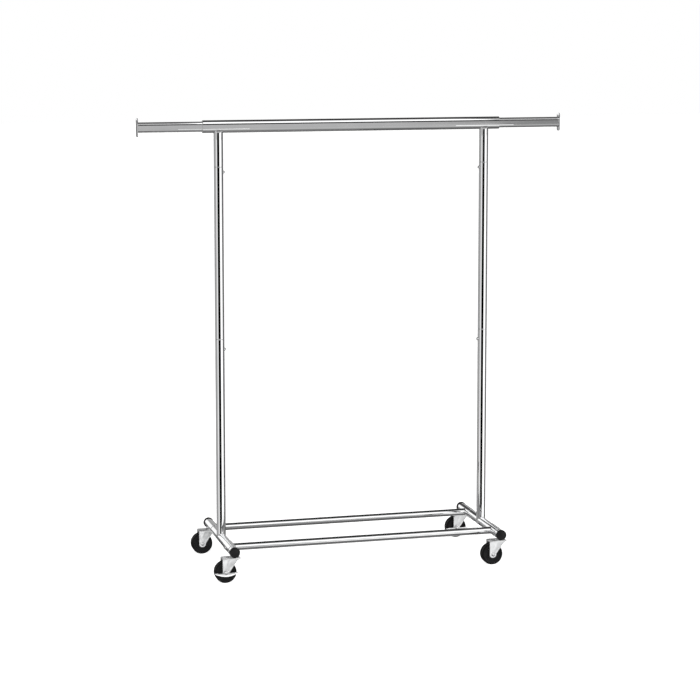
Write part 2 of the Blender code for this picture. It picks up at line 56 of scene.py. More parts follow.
def place(node):
    """Middle, lowest corner and highest corner of a CAD node."""
    low, high = (Vector(c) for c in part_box(node))
    return (low + high) / 2, low, high


# ---- Materials ----------------------------------------------------------------------------------
def new_material(name, colour, metallic, roughness):
    made = bpy.data.materials.new(name)
    made.use_nodes = True
    shader = made.node_tree.nodes["Principled BSDF"]
    shader.inputs["Base Color"].default_value = (*colour, 1)
    shader.inputs["Metallic"].default_value = metallic
    shader.inputs["Roughness"].default_value = roughness
    return made, made.node_tree, shader


def noise(tree, scale, detail=3.0, stretch=(1, 1, 1)):
    """Noise in the object's own coordinates, stretched along an axis for brushed or drawn marks."""
    where = tree.nodes.new("ShaderNodeTexCoord")
    mapping = tree.nodes.new("ShaderNodeMapping")
    mapping.inputs["Scale"].default_value = stretch
    made = tree.nodes.new("ShaderNodeTexNoise")
    made.inputs["Scale"].default_value = scale
    made.inputs["Detail"].default_value = detail
    tree.links.new(where.outputs["Object"], mapping.inputs["Vector"])
    tree.links.new(mapping.outputs["Vector"], made.inputs["Vector"])
    return made.outputs["Fac"]


def remap(tree, value, low, high, start=0.35, end=0.65):
    made = tree.nodes.new("ShaderNodeMapRange")
    made.inputs["From Min"].default_value = start
    made.inputs["From Max"].default_value = end
    made.inputs["To Min"].default_value = low
    made.inputs["To Max"].default_value = high
    tree.links.new(value, made.inputs["Value"])
    return made.outputs["Result"]


def tint(tree, value, first, second, start=0.35, end=0.65):
    ramp = tree.nodes.new("ShaderNodeValToRGB")
    ramp.color_ramp.elements[0].position = start
    ramp.color_ramp.elements[0].color = (*first, 1)
    ramp.color_ramp.elements[1].position = end
    ramp.color_ramp.elements[1].color = (*second, 1)
    tree.links.new(value, ramp.inputs["Fac"])
    return ramp.outputs["Color"]


def bump(tree, shader, value, strength, distance):
    made = tree.nodes.new("ShaderNodeBump")
    made.inputs["Strength"].default_value = strength
    made.inputs["Distance"].default_value = distance
    tree.links.new(value, made.inputs["Height"])
    tree.links.new(made.outputs["Normal"], shader.inputs["Normal"])


def chrome_material():
    """Bright plate over drawn tube, with a faint haze."""
    made, tree, shader = new_material("polished_chrome", (0.9, 0.9, 0.91), 1, 0.05)
    haze = noise(tree, 9, 4)
    tree.links.new(remap(tree, haze, 0.035, 0.075), shader.inputs["Roughness"])
    tree.links.new(tint(tree, haze, (0.87, 0.875, 0.885), (0.92, 0.92, 0.925)), shader.inputs["Base Color"])
    return made


def weld_material():
    made, tree, shader = new_material("chromed_weld", (0.8, 0.8, 0.81), 1, 0.16)
    ripple = noise(tree, 420, 2)
    tree.links.new(remap(tree, ripple, 0.1, 0.26), shader.inputs["Roughness"])
    bump(tree, shader, ripple, 0.35, 0.0005)
    return made


def zinc_material(name, colour, roughness, grain, metallic=1):
    """Bright zinc on pressed steel: slightly cloudy, with a fine rolled grain."""
    made, tree, shader = new_material(name, colour, metallic, roughness)
    cloud = noise(tree, 60, 4)
    dark = tuple(c * 0.86 for c in colour)
    tree.links.new(tint(tree, cloud, dark, colour), shader.inputs["Base Color"])
    fine = noise(tree, 900, 2, grain)
    tree.links.new(remap(tree, fine, roughness * 0.75, roughness * 1.3), shader.inputs["Roughness"])
    bump(tree, shader, fine, 0.06, 0.0002)
    return made


def plastic_material(name, colour, lighter, roughness, scale, strength):
    """Moulded plastic with a fine spark-eroded texture and slight unevenness in its tone."""
    made, tree, shader = new_material(name, colour, 0, roughness)
    patch = noise(tree, 45, 3)
    tree.links.new(tint(tree, patch, colour, lighter), shader.inputs["Base Color"])
    shader.inputs["Specular IOR Level"].default_value = 0.5 if min(colour) > 0.1 else 0.14
    grain = noise(tree, scale, 3)
    tree.links.new(remap(tree, grain, roughness * 0.85, min(1, roughness * 1.2)), shader.inputs["Roughness"])
    bump(tree, shader, grain, strength, 0.0002)
    return made


CHROME = chrome_material()
WELD = weld_material()
ZINC = zinc_material("bright_zinc", (0.75, 0.755, 0.76), 0.2, (1, 1, 0.12), 0.65)
BRIGHT = zinc_material("polished_steel", (0.88, 0.88, 0.89), 0.1, (1, 1, 1))
SPRING = zinc_material("spring_steel", (0.32, 0.33, 0.35), 0.3, (1, 1, 0.2))
CAP_BLACK, CAP_GREY = (0.006, 0.006, 0.0065), (0.011, 0.011, 0.0115)
WHEEL_BLACK, WHEEL_GREY = (0.005, 0.005, 0.0055), (0.009, 0.009, 0.0095)
TREAD_BLACK, TREAD_GREY = (0.003, 0.003, 0.003), (0.006, 0.006, 0.006)
CAP = plastic_material("black_cap_plastic", CAP_BLACK, CAP_GREY, 0.5, 1500, 0.25)
WHEEL = plastic_material("black_wheel_plastic", WHEEL_BLACK, WHEEL_GREY, 0.38, 1100, 0.2)
TREAD = plastic_material("black_tread_rubber", TREAD_BLACK, TREAD_GREY, 0.6, 1400, 0.3)
NYLON = plastic_material("white_nylon", (0.62, 0.62, 0.6), (0.68, 0.68, 0.66), 0.45, 900, 0.15)


# ---- Mesh helpers -------------------------------------------------------------------------------
def arc(centre, radius, start, end, steps):
    turns = [math.radians(start + (end - start) * i / steps) for i in range(steps + 1)]
    return [(centre[0] + radius * math.cos(t), centre[1] + radius * math.sin(t)) for t in turns]


def hexagon(radius):
    turns = [math.radians(60 * i) for i in range(6)]
    return [(radius * math.cos(t), radius * math.sin(t)) for t in turns]


def rounded(points, radii, steps=4):
    """A closed outline whose corners are rounded, each by its own radius or all by one."""
    if not isinstance(radii, (list, tuple)):
        radii = [radii] * len(points)
    out = []
    for i, radius in enumerate(radii):
        corner = Vector(points[i])
        before = Vector(points[i - 1]) - corner
        after = Vector(points[(i + 1) % len(points)]) - corner
        angle = before.angle(after, math.pi)
        reach = radius / math.tan(angle / 2) if radius and angle < 3.1 else 0
        reach = min(reach, before.length * 0.49, after.length * 0.49)
        if reach < 1e-6:
            out.append(tuple(corner))
            continue
        start = corner + before.normalized() * reach
        end = corner + after.normalized() * reach
        for k in range(steps + 1):
            t = k / steps
            out.append(tuple(start * (1 - t) ** 2 + corner * 2 * t * (1 - t) + end * t * t))
    return out


def supported(profile, closed=True, spacing=0.03, edge=0.0006):
    """The same outline with points near both ends of each long run, and at even steps between them.

    They keep the smooth shading of a rounded lip from spreading along the tube.
    """
    out = []
    ends = profile[1:] + profile[:1] if closed else profile[1:] + [None]
    for start, end in zip(profile, ends):
        out.append(start)
        if end is None:
            continue
        first, last = Vector(start), Vector(end)
        length = (last - first).length
        if length < 8 * edge:
            continue
        count = max(1, math.ceil(length / spacing))
        spots = [edge / length, *(k / count for k in range(1, count)), 1 - edge / length]
        out.extend(tuple(first.lerp(last, spot)) for spot in spots)
    return out


def finish_object(name, shape, material, sharp=38):
    mesh = bpy.data.meshes.new(name)
    bmesh.ops.remove_doubles(shape, verts=shape.verts, dist=1e-7)
    bmesh.ops.recalc_face_normals(shape, faces=shape.faces)
    shape.to_mesh(mesh)
    shape.free()
    mesh.shade_smooth()
    mesh.set_sharp_from_angle(angle=math.radians(sharp))
    if material:
        mesh.materials.append(material)
    made = bpy.data.objects.new(name, mesh)
    bpy.context.scene.collection.objects.link(made)
    return made


def oval(width, height, flat, steps=28):
    """A family of flat-sided outlines with half-elliptical ends: one for each inset."""

    def at(inset):
        w, h = width - 2 * inset, height - 2 * inset
        cap = [(u, v * (h - flat) / w) for u, v in arc((0, 0), w / 2, 0, 180, steps)]
        return [(u, v + flat / 2) for u, v in cap] + [(-u, -v - flat / 2) for u, v in cap]

    return at


def swept(name, section, path, material, to_world, closed=True):
    """Outlines at each (inset, height) of the path, joined. A closed path makes a hollow tube."""
    shape = bmesh.new()
    rings = [[shape.verts.new((u, v, h)) for u, v in section(inset)] for inset, h in path]
    pairs = list(zip(rings, rings[1:]))
    if closed:
        pairs.append((rings[-1], rings[0]))
    else:
        shape.faces.new(rings[0])
        shape.faces.new(rings[-1])
    for first, second in pairs:
        for i in range(len(first)):
            j = (i + 1) % len(first)
            shape.faces.new((first[i], first[j], second[j], second[i]))
    bmesh.ops.transform(shape, matrix=to_world, verts=shape.verts)
    return finish_object(name, shape, material)


def axis_frame(centre, axis, sign=1):
    """Local Z along a world axis. For X and Y, local Y is world Z up, so ovals stand upright."""
    if axis == "Z":
        turn = Matrix.Identity(3)
    elif axis == "X":
        turn = Matrix(((0, 0, sign), (sign, 0, 0), (0, 1, 0)))
    else:
        turn = Matrix(((-sign, 0, 0), (0, 0, sign), (0, 1, 0)))
    return Matrix.Translation(centre) @ turn.to_4x4()


def lathe(name, profile, material, to_world, steps=64):
    """A (radius, height) outline turned about local Z. Zero radii close it on the axis."""
    shape = bmesh.new()
    columns = []
    on_axis = {k: shape.verts.new((0, 0, h)) for k, (r, h) in enumerate(profile) if r < 1e-9}
    for i in range(steps):
        a = 2 * math.pi * i / steps
        column = []
        for k, (r, h) in enumerate(profile):
            column.append(on_axis.get(k) or shape.verts.new((r * math.cos(a), r * math.sin(a), h)))
        columns.append(column)
    for i in range(steps):
        here, there = columns[i], columns[(i + 1) % steps]
        for k in range(len(profile)):
            n = (k + 1) % len(profile)
            corners = list(dict.fromkeys((here[k], there[k], there[n], here[n])))
            if len(corners) > 2:
                shape.faces.new(corners)
    bmesh.ops.transform(shape, matrix=to_world, verts=shape.verts)
    return finish_object(name, shape, material)


def slab(name, outline, low, high, material, to_world):
    """An (x, z) outline extruded along local Y."""
    shape = bmesh.new()
    near = [shape.verts.new((u, low, v)) for u, v in outline]
    far = [shape.verts.new((u, high, v)) for u, v in outline]
    shape.faces.new(near)
    shape.faces.new(far[::-1])
    for i in range(len(outline)):
        j = (i + 1) % len(outline)
        shape.faces.new((near[i], near[j], far[j], far[i]))
    bmesh.ops.transform(shape, matrix=to_world, verts=shape.verts)
    return finish_object(name, shape, material)


def cut(target, *tools, operation="DIFFERENCE"):
    """Cuts or joins helper shapes, leaves the result as the target's own mesh, and drops the helpers."""
    for tool in tools:
        modifier = target.modifiers.new("cut", "BOOLEAN")
        modifier.operation = operation
        modifier.object = tool
    settle(target)
    for tool in tools:
        bpy.data.objects.remove(tool, do_unlink=True)


def settle(target, sharp=38):
    graph = bpy.context.evaluated_depsgraph_get()
    graph.update()
    mesh = bpy.data.meshes.new_from_object(target.evaluated_get(graph))
    target.modifiers.clear()
    old = target.data
    target.data = mesh
    bpy.data.meshes.remove(old)
    mesh.shade_smooth()
    mesh.set_sharp_from_angle(angle=math.radians(sharp))


def bevel(target, width, segments=2, angle=40):
    modifier = target.modifiers.new("edges", "BEVEL")
    modifier.width = width
    modifier.segments = segments
    modifier.limit_method = "ANGLE"
    modifier.angle_limit = math.radians(angle)
    modifier.use_clamp_overlap = True
    settle(target)


def joined(first, *others):
    """Several objects made one, each with its own material."""
    shape = bmesh.new()
    materials = []
    for obj in (first, *others):
        start = len(shape.faces)
        shape.from_mesh(obj.data)
        shape.faces.ensure_lookup_table()
        offset = len(materials)
        materials.extend(obj.data.materials)
        for face in shape.faces[start:]:
            face.material_index += offset
    mesh = bpy.data.meshes.new(first.name)
    shape.to_mesh(mesh)
    shape.free()
    for material in materials:
        mesh.materials.append(material)
    first.data = mesh
    for obj in others:
        bpy.data.objects.remove(obj, do_unlink=True)
    return first


def add(piece, body, slot, *nodes):
    if nodes:
        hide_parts(*nodes)
    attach(piece, body)


def tube_path(wall, low, high, lip, inner_lip=0.0003):
    """A tube's wall from end to end, with rounded lips."""
    corners = [(0, low), (0, high), (wall, high), (wall, low)]
    return supported(rounded(corners, [lip, lip, inner_lip, inner_lip]))


# ---- Rail and extensions ------------------------------------------------------------------------
RAIL_FLAT = 0.012
RAIL_WALL = 0.0015
EXTENSION_WALL = 0.0012
BUSH_WALL = 0.0022
PLATE_FLAT = 0.05


def build_rail():
    centre, low, high = place("rail_tube")
    size = high - low
    to_world = axis_frame(Vector((0, centre.y, centre.z)), "X")
    path = tube_path(RAIL_WALL, low.x, high.x, 0.0009)
    rail = swept("rail_tube_chrome", oval(size.y, size.z, RAIL_FLAT), path, CHROME, to_world)
    add(rail, "frame", "chrome", "rail_tube")
    for side, sign in SIDES.items():
        body = f"{side}_extension"
        centre, low, high = place(f"{side}_extension_tube")
        size = high - low
        to_world = axis_frame(Vector((0, centre.y, centre.z)), "X")
        path = tube_path(EXTENSION_WALL, low.x, high.x, 0.0005)
        tube = swept(f"{side}_extension_chrome", oval(size.y, size.z, RAIL_FLAT), path, CHROME, to_world)
        add(tube, body, "chrome", f"{side}_extension_tube")

        bead_at = (high.x if sign > 0 else low.x) - sign * 0.0006
        bead = [(0.0010, -0.0008), (-0.0003, -0.0007), (-0.0011, -0.0002)]
        bead += [(-0.0015, 0.0008), (0.0010, 0.0008)]
        bead = [(inset, bead_at + sign * h) for inset, h in bead]
        weld = swept(f"{side}_end_weld", oval(size.y, size.z, RAIL_FLAT), bead, WELD, to_world)
        add(weld, body, "chrome")

        centre, low, high = place(f"{side}_end_plate")
        size = high - low
        to_world = axis_frame(Vector((0, centre.y, centre.z)), "X")
        outer, inner = (high.x, low.x) if sign > 0 else (low.x, high.x)
        path = [(size.y / 2 - 0.004, inner), (0.0005, inner), (0.00015, inner + sign * 0.00015)]
        path += [(0, inner + sign * 0.0006), (0, outer - sign * 0.0011)]
        path += [(0.00018, outer - sign * 0.00055), (0.0006, outer - sign * 0.00015), (0.0011, outer)]
        path += [(size.y / 2 - 0.004, outer)]
        section = oval(size.y, size.z, PLATE_FLAT)
        plate = swept(f"{side}_end_plate_chrome", section, path, CHROME, to_world, False)
        add(plate, body, "chrome", f"{side}_end_plate")

        centre, low, high = place(f"{side}_rail_bush")
        size = high - low
        to_world = axis_frame(Vector((0, centre.y, centre.z)), "X")
        path = tube_path(BUSH_WALL, low.x, high.x, 0.0004)
        bush = swept(f"{side}_bush_nylon", oval(size.y, size.z, RAIL_FLAT), path, NYLON, to_world)
        add(bush, "frame", "nylon", f"{side}_rail_bush")


# ---- Posts --------------------------------------------------------------------------------------
POST_R = 0.016
WALL = 0.0015
SPIGOT_R = POST_R - WALL - GAP
SPIGOT_BORE = SPIGOT_R - 0.0015
BUTTON_HOLE = 0.0056


def socket_post(seam, top, foot):
    """(radius, height) outline of a tube swaged below its seam."""
    corners = [
        (POST_R, seam),
        (POST_R, top),
        (POST_R - WALL, top),
        (POST_R - WALL, seam + 0.003),
        (SPIGOT_BORE, seam),
        (SPIGOT_BORE, foot),
        (SPIGOT_R, foot),
        (SPIGOT_R, seam),
    ]
    outline = rounded(corners, [0.0010, 0.0006, 0.0003, 0.002, 0.002, 0.0002, 0.0006, 0.0003])
    return supported(outline, spacing=0.012)


def build_posts():
    for side, sign in SIDES.items():
        stub_mid, stub_low, stub_high = place(f"{side}_rail_stub")
        up_mid, up_low, up_high = place(f"{side}_upper_post")
        low_mid, low_low, low_high = place(f"{side}_lower_post")
        x = up_mid.x
        seams = {"upper": up_high.z + GAP, "middle": low_high.z + GAP}
        to_world = axis_frame(Vector((x, 0, 0)), "Z")

        outline = socket_post(seams["upper"], stub_high.z, stub_low.z)
        stub = lathe(f"{side}_stub_chrome", outline, CHROME, to_world, 72)
        rail_mid, rail_low, rail_high = place("rail_tube")
        rail_size = rail_high - rail_low
        saddle = swept(
            "saddle",
            oval(rail_size.y + 2 * GAP, rail_size.z + 2 * GAP, RAIL_FLAT),
            [(0, x - 0.03), (0, x + 0.03)],
            None,
            axis_frame(Vector((0, 0, rail_mid.z)), "X"),
            False,
        )
        outline = socket_post(seams["middle"], up_high.z, up_low.z)
        upper = lathe(f"{side}_upper_chrome", outline, CHROME, to_world, 72)
        corners = [
            (POST_R, low_low.z),
            (POST_R, low_high.z),
            (POST_R - WALL, low_high.z),
            (POST_R - WALL, low_low.z),
        ]
        outline = supported(rounded(corners, [0, 0.0008, 0.0004, 0]), spacing=0.012)
        lower = lathe(f"{side}_lower_chrome", outline, CHROME, to_world, 72)
        bar_mid, bar_low, bar_high = place(f"{side}_side_bar")
        cope = lathe(
            "cope",
            [(0, -0.04), (0.01605, -0.04), (0.01605, 0.04), (0, 0.04)],
            None,
            axis_frame(Vector((x, 0, bar_mid.z)), "Y"),
            96,
        )
        tools = {stub: [saddle], upper: [], lower: [cope]}
        for level, pair in (("upper", (stub, upper)), ("middle", (upper, lower))):
            button_mid = place(f"{side}_{level}_snap_button")[0]
            for tube in pair:
                hole = [(0, 0.006), (BUTTON_HOLE, 0.006), (BUTTON_HOLE, 0.02), (0, 0.02)]
                where = axis_frame(Vector((x, 0, button_mid.z)), "X", -sign)
                tools[tube].append(lathe("hole", hole, None, where, 40))
            build_button(f"{side}_{level}", -sign, x, button_mid.z)
        for tube, helpers in tools.items():
            cut(tube, *helpers)
        add(stub, "frame", "chrome", f"{side}_rail_stub")
        add(upper, "frame", "chrome", f"{side}_upper_post")
        add(lower, "frame", "chrome", f"{side}_lower_post")
        build_post_welds(side, x, rail_mid.z, rail_size, bar_mid.z)


def bead_along(name, points, radius, closed=True):
    """A weld bead: a round cord along a path, swollen a little at each ripple."""
    shape = bmesh.new()
    count = len(points)
    rings = []
    for i, point in enumerate(points):
        before = points[i - 1] if closed or i else points[0]
        after = points[(i + 1) % count] if closed or i < count - 1 else points[-1]
        along = (after - before).normalized()
        side = along.orthogonal() if not rings else (last - along * last.dot(along))
        side.normalize()
        last = side
        up = along.cross(side)
        swell = radius * (1 + 0.1 * math.sin(i * 2.1))
        rings.append(
            [
                shape.verts.new(point + (side * math.cos(a) + up * math.sin(a)) * swell)
                for a in (2 * math.pi * k / 8 for k in range(8))
            ]
        )
    pairs = list(zip(rings, rings[1:]))
    if not closed:
        shape.faces.new(rings[0])
        shape.faces.new(rings[-1])
    for first, second in pairs:
        for k in range(8):
            shape.faces.new((first[k], first[(k + 1) % 8], second[(k + 1) % 8], second[k]))
    if closed:
        first, second = rings[-1], rings[0]
        turn = min(range(8), key=lambda t: (second[t].co - first[0].co).length)
        for k in range(8):
            j = (k + 1) % 8
            shape.faces.new((first[k], first[j], second[(j + turn) % 8], second[(k + turn) % 8]))
    return finish_object(name, shape, WELD, 60)


def oval_height(y, size, flat):
    """Distance below the rail's middle of its underside at that depth."""
    a, c = size.y / 2, (size.z - flat) / 2
    return flat / 2 + c * math.sqrt(max(0, 1 - (y / a) ** 2))


def build_post_welds(side, x, rail_z, size, bar_z):
    points = []
    for i in range(72):
        a = 2 * math.pi * i / 72
        px, py = math.cos(a) * 0.0159, math.sin(a) * 0.0159
        inside = min(abs(py), size.y / 2 - 0.0004)
        pz = rail_z - oval_height(inside, size, RAIL_FLAT)
        points.append(Vector((x + px, math.copysign(inside, py), pz)))
    add(bead_along(f"{side}_stub_weld", points, 0.0008), "frame", "chrome")
    points = []
    for i in range(72):
        a = 2 * math.pi * i / 72
        px, py = math.cos(a) * 0.0158, math.sin(a) * 0.0158
        points.append(Vector((x + px, py, bar_z + math.sqrt(0.0161**2 - px * px) + 0.0002)))
    add(bead_along(f"{side}_foot_weld", points, 0.0008), "frame", "chrome")


def build_button(name, facing, x, z):
    face = math.sqrt(SPIGOT_BORE**2 - 0.006**2) - GAP
    tip = POST_R + 0.006
    dome = arc((0, tip - 0.0052), 0.0052, 0, 90, 10)
    dome = [(0.0052 if i == 0 else max(r, 0), h) for i, (r, h) in enumerate(dome)]
    outline = [(0, face - 0.0008), (0.0058, face - 0.0008), (0.006, face - 0.0006), (0.006, face)]
    outline += [(0.0056, face), (0.0052, face + 0.0004), *dome[:-1], (0, tip)]
    to_world = axis_frame(Vector((x, 0, z)), "X", facing)
    button = lathe(f"{name}_button_steel", outline, BRIGHT, to_world, 40)
    add(button, f"{name}_button", "zinc", f"{name}_snap_button")

    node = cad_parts[f"{name}_button_spring"]
    node.data.materials.clear()
    node.data.materials.append(SPRING)


# ---- Base ---------------------------------------------------------------------------------------
BASE_RAIL_WALL = 0.0012
COLLAR_WALL = 0.001
CAP_LIP = 0.010


def build_base():
    for side, sign in SIDES.items():
        mid, low, high = place(f"{side}_side_bar")
        to_world = axis_frame(Vector((mid.x, 0, mid.z)), "Y")
        corners = [(POST_R, low.y), (POST_R, high.y), (POST_R - WALL, high.y), (POST_R - WALL, low.y)]
        outline = supported(rounded(corners, 0.0004), spacing=0.012)
        bar = lathe(f"{side}_bar_chrome", outline, CHROME, to_world, 72)
        tools = []
        for end in ENDS:
            stem_mid = place(f"{end}_{side}_caster_stem")[0]
            hole = [(0, -0.02), (0.0053, -0.02), (0.0053, -0.005), (0, -0.005)]
            tools.append(lathe("hole", hole, None, axis_frame(Vector((mid.x, stem_mid.y, mid.z)), "Z"), 40))
            screw_mid = place(f"{end}_{side}_collar_screw")[0]
            hole = [(0, 0.007), (0.0033, 0.007), (0.0033, 0.02), (0, 0.02)]
            where = axis_frame(Vector((mid.x, screw_mid.y, mid.z)), "X", sign)
            tools.append(lathe("hole", hole, None, where, 32))
        cut(bar, *tools)
        add(bar, "frame", "chrome", f"{side}_side_bar")
        for end, way in ENDS.items():
            corner = f"{end}_{side}"
            build_collar(corner, sign)
            build_screw(corner, sign)
            build_cap(corner, way)

    for end in ENDS:
        mid, low, high = place(f"{end}_base_rail")
        radius = (high.z - low.z) / 2
        collar = place(f"{end}_left_tee_collar")
        collar_r = (collar[2].x - collar[1].x) / 2
        reach = abs(collar[0].x)
        bore = radius - BASE_RAIL_WALL
        outline = [(radius, -reach), (radius, reach), (bore, reach), (bore, -reach)]
        outline = supported(outline, spacing=0.02)
        rail = lathe(f"{end}_rail_chrome", outline, CHROME, axis_frame(Vector((0, mid.y, mid.z)), "X"), 64)
        tools = []
        for sign in SIDES.values():
            r = collar_r + 0.0001
            outline = [(0, -0.03), (r, -0.03), (r, 0.03), (0, 0.03)]
            where = axis_frame(Vector((sign * reach, mid.y, mid.z)), "Y")
            tools.append(lathe("cope", outline, None, where, 96))
            points = []
            for i in range(60):
                a = 2 * math.pi * i / 60
                py, pz = math.cos(a) * (radius - 0.0001), math.sin(a) * (radius - 0.0001)
                px = math.sqrt(max(0, (collar_r + 0.0001) ** 2 - pz * pz))
                points.append(Vector((sign * (reach - px), mid.y + py, mid.z + pz)))
            bead = bead_along(f"{end}_{'left' if sign < 0 else 'right'}_rail_weld", points, 0.0008)
            add(bead, "frame", "chrome")
        cut(rail, *tools)
        add(rail, "frame", "chrome", f"{end}_base_rail")


def build_collar(corner, sign):
    mid, low, high = place(f"{corner}_tee_collar")
    radius = (high.x - low.x) / 2
    bore = radius - COLLAR_WALL
    corners = [(radius, low.y), (radius, high.y), (bore, high.y), (bore, low.y)]
    to_world = axis_frame(Vector((mid.x, 0, mid.z)), "Y")
    outline = supported(rounded(corners, [0.0006, 0.0006, 0.0002, 0.0002]), spacing=0.008)
    collar = lathe(f"{corner}_collar_chrome", outline, CHROME, to_world, 72)
    outward = axis_frame(Vector((mid.x, mid.y, mid.z)), "X", sign)
    hole = [(0, 0.01), (0.0033, 0.01), (0.0033, 0.03), (0, 0.03)]
    cut(collar, lathe("hole", hole, None, outward, 32))
    add(collar, "frame", "chrome", f"{corner}_tee_collar")


def build_screw(corner, sign):
    """A domed screw with a hex socket, in the outer side of its collar."""
    mid, low, high = place(f"{corner}_tee_collar")
    outward = axis_frame(Vector((mid.x, mid.y, mid.z)), "X", sign)
    seat = (high.x - low.x) / 2 + GAP
    outline = [(0, seat - 0.007), (0.0026, seat - 0.007), (0.003, seat - 0.0065), (0.003, seat)]
    outline += [(0.0058, seat), (0.006, seat + 0.0003), (0.006, seat + 0.0008)]
    outline += [(0.0055, seat + 0.0019), (0.0042, seat + 0.0029)]
    outline += [(0.0024, seat + 0.0034), (0, seat + 0.0035)]
    screw = lathe(f"{corner}_screw_steel", outline, BRIGHT, outward, 40)
    socket = hexagon(0.0021)
    shape = bmesh.new()
    bottom = [shape.verts.new((u, v, seat + 0.0012)) for u, v in socket]
    top = [shape.verts.new((u, v, seat + 0.006)) for u, v in socket]
    shape.faces.new(bottom)
    shape.faces.new(top)
    for i in range(6):
        shape.faces.new((bottom[i], bottom[(i + 1) % 6], top[(i + 1) % 6], top[i]))
    bmesh.ops.transform(shape, matrix=outward, verts=shape.verts)
    cut(screw, finish_object("socket", shape, None))
    add(screw, "frame", "zinc", f"{corner}_collar_screw")


def build_cap(corner, way):
    """A push-in cap with a rounded rim and a fine groove round its face."""
    mid, low, high = place(f"{corner}_end_cap")
    outer, inner = (high.y, low.y) if way > 0 else (low.y, high.y)
    lip = outer - way * CAP_LIP
    radius = (high.x - low.x) / 2
    plug = 0.0142
    outline = [
        (0, inner),
        (plug - 0.002, inner),
        (plug, inner + way * 0.002),
        (plug, lip),
        (radius - 0.0004, lip),
        (radius, lip + way * 0.0004),
        *[(r, outer - way * (0.0022 - h)) for r, h in arc((radius - 0.0022, 0), 0.0022, 0, 90, 7)],
        (radius - 0.0055, outer - way * 0.00002),
        (radius - 0.0062, outer - way * 0.0005),
        (radius - 0.0069, outer - way * 0.0005),
        (radius - 0.0076, outer - way * 0.00002),
        (0.004, outer),
        (0, outer),
    ]
    cap = lathe(f"{corner}_cap_plastic", outline, CAP, axis_frame(Vector((mid.x, 0, mid.z)), "Y"), 72)
    add(cap, "frame", "black", f"{corner}_end_cap")


# ---- Casters ------------------------------------------------------------------------------------
FORK_SHEET = 0.0025


def build_caster(corner):
    stem_mid, stem_low, stem_high = place(f"{corner}_caster_stem")
    px, py = stem_mid.x, stem_mid.y
    wheel_mid, wheel_low, wheel_high = place(f"{corner}_wheel")
    fork_mid, fork_low, fork_high = place(f"{corner}_fork")
    axle = Vector((wheel_mid.x, py, wheel_mid.z))
    build_stem(corner, px, py, stem_low.z, stem_high.z, fork_high.z)
    build_race(corner, px, py)
    build_fork(corner, px, py, axle, fork_low, fork_high)
    build_wheel(corner, axle, wheel_high.y - wheel_low.y)
    build_axle(corner, axle)
    if corner in BRAKED:
        build_pedal(corner, axle)


def build_stem(corner, px, py, low, high, crown):
    flange_low = crown + GAP
    flange_high = flange_low + 0.0033
    thread = []
    z = flange_high + 0.0012
    while z < high - 0.0026:
        thread += [(0.0050, z), (0.0044, z + 0.0006)]
        z += 0.0012
    outline = [
        (0, low),
        (0.0078, low),
        (0.0085, low + 0.0006),
        (0.0085, low + 0.0017),
        (0.0082, low + 0.002),
        (0.005, low + 0.002),
        (0.005, flange_low),
        (0.0095, flange_low),
        (0.010, flange_low + 0.0005),
        (0.010, flange_high - 0.0007),
        (0.0094, flange_high),
        (0.005, flange_high),
        *thread,
        (0.0048, high - 0.0018),
        (0.0036, high - 0.0002),
        (0.0030, high),
        (0, high),
    ]
    stem = lathe(f"{corner}_stem_zinc", outline, ZINC, axis_frame(Vector((px, py, 0)), "Z"), 48)
    add(stem, "frame", "zinc", f"{corner}_caster_stem")


def build_race(corner, px, py):
    mid, low, high = place(f"{corner}_ball_race")
    radius = (high.x - low.x) / 2
    corners = [
        (0.0055, low.z + 0.0006),
        (0.0095, low.z),
        (radius - 0.001, low.z + 0.0006),
        (radius, low.z + 0.002),
        (radius, high.z),
        (0.0055, high.z),
    ]
    outline = rounded(corners, [0.0003, 0.001, 0.001, 0.0008, 0.0004, 0.0003])
    race = lathe(f"{corner}_race_zinc", outline, ZINC, axis_frame(Vector((px, py, 0)), "Z"), 56)
    add(race, f"{corner}_swivel", "zinc", f"{corner}_ball_race")


def build_fork(corner, px, py, axle, low, high):
    """A pressed channel: ribbed blades with rounded tips, a bent crown, and a raised race on it."""
    at = Matrix.Translation(Vector((px, py, 0)))
    under = high.z - FORK_SHEET
    half = (high.y - low.y) / 2
    tail, nose = low.x - px, high.x - px
    ax, az = axle.x - px, axle.z
    outline = [
        (tail, under),
        *arc((ax, az), 0.012, 172, 370, 30),
        (nose - 0.023, under - 0.0205),
        *curve_between((nose - 0.0155, under - 0.0098), (nose - 0.0095, under - 0.0014), (nose, under), 8),
        (nose, high.z),
        (tail, high.z),
    ]
    fork = slab(f"{corner}_fork_zinc", outline, -half, half, ZINC, at)
    inside = half - FORK_SHEET
    start, end = tail - 0.02, nose + 0.02
    channel = [(start, -0.02), (end, -0.02), (end, under), (start, under)]
    tools = [slab("channel", rounded(channel, [0, 0, 0, 0]), -inside, inside, None, at)]
    stem_hole = [(0, 0.05), (0.0055, 0.05), (0.0055, 0.1), (0, 0.1)]
    tools.append(lathe("hole", stem_hole, None, axis_frame(Vector((px, py, 0)), "Z"), 40))
    axle_hole = [(0, -0.03), (0.0043, -0.03), (0.0043, 0.03), (0, 0.03)]
    tools.append(lathe("hole", axle_hole, None, axis_frame(axle, "Y"), 32))
    cut(fork, *tools)
    bevel(fork, 0.0009, 3, 50)

    parts = []
    for face in (-1, 1):
        parts.append(rib(px, py, ax, az, under, face, half))
    foot, top = high.z - 0.0004, high.z + 0.0019
    corners = [(0.0108, foot), (0.0165, foot), (0.0150, top), (0.0116, top)]
    ring = rounded(corners, [0.0002, 0.0006, 0.0009, 0.0004])
    parts.append(lathe("ring", ring, ZINC, axis_frame(Vector((px, py, 0)), "Z"), 56))
    fork = joined(fork, *parts)
    add(fork, f"{corner}_swivel", "zinc", f"{corner}_fork")


